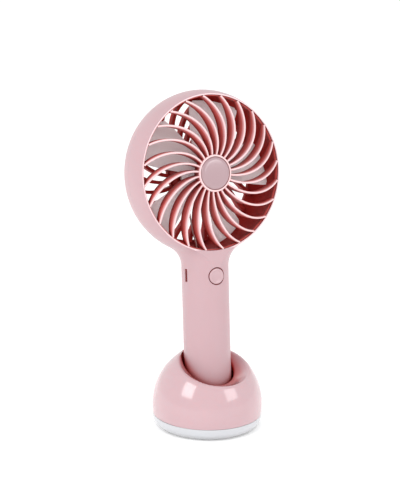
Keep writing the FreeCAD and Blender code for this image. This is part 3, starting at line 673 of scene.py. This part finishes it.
def dome_shell_field(p):
    """Distance outside the dome's ellipsoid, negative inside it."""
    scaled = np.stack([p[..., 0] / DOME_R, p[..., 1] / DOME_R, (p[..., 2] - DOME_MID_Z) / DOME_RISE], -1)
    size = np.linalg.norm(scaled, axis=-1)
    slope = np.linalg.norm(scaled / np.array((DOME_R, DOME_R, DOME_RISE)), axis=-1) / np.maximum(size, 1e-9)
    return (size - 1) / np.maximum(slope, 1e-9)


def dome_field(p):
    """Below zero inside the dome's wall: the ellipsoid less the scoop, the socket and all below the seam."""
    scoop = SCOOP_R - np.linalg.norm(p - SCOOP_CENTRE, axis=-1)
    up = np.array(UP)
    local = p - np.array((0.0, SOCKET_AXIS_Y, 0.0))
    along = local @ up
    radial = np.linalg.norm(local - along[..., None] * up, axis=-1)
    mouth = SOCKET_R + (MOUTH_R - SOCKET_R) * np.clip((along - MOUTH_FROM) / MOUTH_TAPER, 0, 1)
    solid = smooth_max(dome_shell_field(p), scoop, SCOOP_ROUNDING)
    solid = smooth_max(solid, mouth - radial, MOUTH_ROUNDING)
    return smooth_max(solid, SEAM_Z - p[..., 2], SEAM_ROUNDING)


def dome_wall_points():
    """Points on the wall, section by section: rays from a circle inside it are followed to its surface."""
    phi = np.linspace(0, 2 * math.pi, WALL_TURNS, endpoint=False)
    psi = np.linspace(0, 2 * math.pi, WALL_RAYS, endpoint=False)
    psi = psi + RAY_CROWDING * np.sin(2 * (psi - RAY_SPREAD_TURN))
    out = np.stack([np.sin(phi), -np.cos(phi), np.zeros(WALL_TURNS)], -1)
    core = (out * WALL_CORE_R + WALL_CORE_PLACE)[:, None, :]
    upright = np.array((0, 0, 1.0))
    ray = out[:, None, :] * np.cos(psi)[None, :, None] + upright * np.sin(psi)[None, :, None]
    low = np.zeros((WALL_TURNS, WALL_RAYS))
    high = np.full((WALL_TURNS, WALL_RAYS), RAY_REACH)
    found = np.zeros((WALL_TURNS, WALL_RAYS), bool)
    for distance in np.linspace(RAY_STEP, RAY_REACH, RAY_PROBES):
        outside = dome_field(core + ray * distance) > 0
        fresh = outside & ~found
        high[fresh] = distance
        low[fresh] = distance - RAY_STEP
        found |= outside
    for _ in range(RAY_HALVINGS):
        middle = (low + high) / 2
        outside = dome_field(core + ray * middle[..., None]) > 0
        high = np.where(outside, middle, high)
        low = np.where(outside, low, middle)
    return core + ray * low[..., None]


def socket_plug():
    """Disc across the bottom of the socket, as two rings."""
    top = Vector((0, SOCKET_AXIS_Y * MM, 0)) + UP * (SOCKET_FLOOR * MM)
    back = UP.cross(SIDE)
    rings = []
    for height in (0.0, -PLUG_THICK * MM):
        ring = []
        for i in range(PLUG_SIDES):
            a = 2 * math.pi * i / PLUG_SIDES
            ring.append(top + UP * height + (SIDE * math.cos(a) + back * math.sin(a)) * (PLUG_R * MM))
        rings.append(ring)
    return rings


def make_base_dome():
    """Dome with its scoop, its leaning socket and the socket's floor."""
    points = dome_wall_points()
    # depth under the dome's surface, for the painted shade in the scoop
    depths = list(np.clip(-dome_shell_field(points) / SCOOP_DEPTH, 0, 1).ravel())
    wall = skin([[Vector(p) for p in row] for row in points * MM], wrap=True)
    plug = socket_plug()
    # the socket's floor takes the darkest painted shade
    depths.extend([1.0] * sum(len(ring) for ring in plug))
    dome = piece("base_dome_shell", *merged([wall, skin(plug)]), "base", "base_pink", GLOSS, 60)
    store_depths(dome, depths)
    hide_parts("base_dome")


# ---------------------------------------------------------------- power button

KEY_R = 5.0
KEY_DISH_R = 3.3
KEY_DISH_Y = (-14.42, -14.5)         # at the middle of the dish and at its edge
KEY_RIM_R = (4.0, 4.9)
KEY_RIM_Y = (-14.85, -14.55)
KEY_SIDE_Y = -13.6
KEY_FLANGE_R = 5.9
KEY_FLANGE_Y = (-11.1, -10.2)
KEY_STEM_R = 1.7
KEY_STEM_BACK_Y = -8.2


def make_button():
    """Key with a rounded rim and a shallow dish; it is set at the CAD key's place."""
    low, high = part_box("power_button")
    middle = Vector(((low.x + high.x) / 2, (low.y + high.y) / 2, (low.z + high.z) / 2))
    outline = rounded([
        (PINHOLE_R, KEY_DISH_Y[0], 0),
        (KEY_DISH_R, KEY_DISH_Y[1], 0.5),
        (KEY_RIM_R[0], KEY_RIM_Y[0], 0.5),
        (KEY_RIM_R[1], KEY_RIM_Y[1], 0.5),
        (KEY_R, KEY_SIDE_Y, 0.5),
        (KEY_R, KEY_FLANGE_Y[0], 0.1),
        (KEY_FLANGE_R, KEY_FLANGE_Y[0], 0.1),
        (KEY_FLANGE_R, KEY_FLANGE_Y[1], 0.1),
        (KEY_STEM_R, KEY_FLANGE_Y[1], 0.1),
        (KEY_STEM_R, KEY_STEM_BACK_Y, 0.1),
        (PINHOLE_R, KEY_STEM_BACK_Y, 0),
    ], 5)
    shape = turned(outline, 64, middle.x / MM, (middle - HEAD).dot(UP) / MM)
    key = piece("power_key", *shape, "button", "button_pink", KEY, 50)
    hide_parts("power_button")


# ---------------------------------------------------------------- stage, light and camera, metres

FLOOR_REACH = 40.0
SOFTBOX_SIZE = (0.41, 0.42)
SOFTBOX_TARGET = (0, -0.01, 0.06)
CAMERA_EYE = (-0.29673, -0.50881, 0.22658)
CAMERA_AIM = (-0.00504, 0.00287, 0.11210)
CAMERA_ROLL = 0.0127                 # radians
CAMERA_LENS = 69.93                  # millimetres, on a 36 mm sensor


def make_floor():
    """Pale floor, wide enough to have no edge in any view."""
    mesh = bpy.data.meshes.new("floor")
    corners = [(x * FLOOR_REACH, y * FLOOR_REACH, 0) for x, y in ((-1, -1), (1, -1), (1, 1), (-1, 1))]
    mesh.from_pydata(corners, [], [(0, 1, 2, 3)])
    floor = bpy.data.objects.new("floor", mesh)
    bpy.context.scene.collection.objects.link(floor)
    material, _, shader = nodes_of("pale_floor")
    shader.inputs["Base Color"].default_value = (0.97, 0.97, 0.97, 1)
    shader.inputs["Roughness"].default_value = 0.9
    shader.inputs["Specular IOR Level"].default_value = 0.1
    emitting(material, (1, 1, 1), 0.12)
    mesh.materials.append(material)


def make_world():
    """Even white surroundings."""
    world = bpy.data.worlds.new("studio")
    bpy.context.scene.world = world
    world.use_nodes = True
    background = world.node_tree.nodes["Background"]
    background.inputs["Color"].default_value = (1, 1, 1, 1)
    background.inputs["Strength"].default_value = 1.06


def make_softbox(name, place, power):
    """Rectangular lamp aimed at the base."""
    light = bpy.data.lights.new(name, "AREA")
    light.shape = "RECTANGLE"
    light.size, light.size_y = SOFTBOX_SIZE
    light.energy = power
    lamp = bpy.data.objects.new(name, light)
    bpy.context.scene.collection.objects.link(lamp)
    lamp.location = place
    lamp.rotation_mode = "QUATERNION"
    lamp.rotation_quaternion = (Vector(SOFTBOX_TARGET) - Vector(place)).to_track_quat("-Z", "Y")


def make_camera():
    """Camera at the photo's viewing angle, rolled a little about its line of sight."""
    eye = Vector(CAMERA_EYE)
    forward = (Vector(CAMERA_AIM) - eye).normalized()
    level = forward.cross(Vector((0, 0, 1))).normalized()
    upright = level.cross(forward)
    right = level * math.cos(CAMERA_ROLL) + upright * math.sin(CAMERA_ROLL)
    top = upright * math.cos(CAMERA_ROLL) - level * math.sin(CAMERA_ROLL)
    data = bpy.data.cameras.new("camera")
    data.lens = CAMERA_LENS
    data.sensor_width = 36.0
    data.clip_start = 0.01
    camera = bpy.data.objects.new("camera", data)
    bpy.context.scene.collection.objects.link(camera)
    turn = Matrix((right, top, -forward)).transposed().to_4x4()
    camera.matrix_world = Matrix.Translation(eye) @ turn
    bpy.context.scene.camera = camera


# ---------------------------------------------------------------- the scene

dress_cad_nodes()
paint_inside_shade_and_rim_highlight("front_shell", FRONT_CAVITY_R)
paint_inside_shade_and_rim_highlight("rear_shell", REAR_CAVITY_R)
make_front_grille()
make_hub_cap()
make_impeller()
make_base_dome()
make_button()
make_floor()
make_world()
make_softbox("left_softbox", (-0.78, -0.19, 0.50), 2.6)
make_softbox("right_softbox", (0.36, -0.78, 0.42), 1.7)
make_camera()
bpy.context.scene.view_settings.view_transform = "Standard"
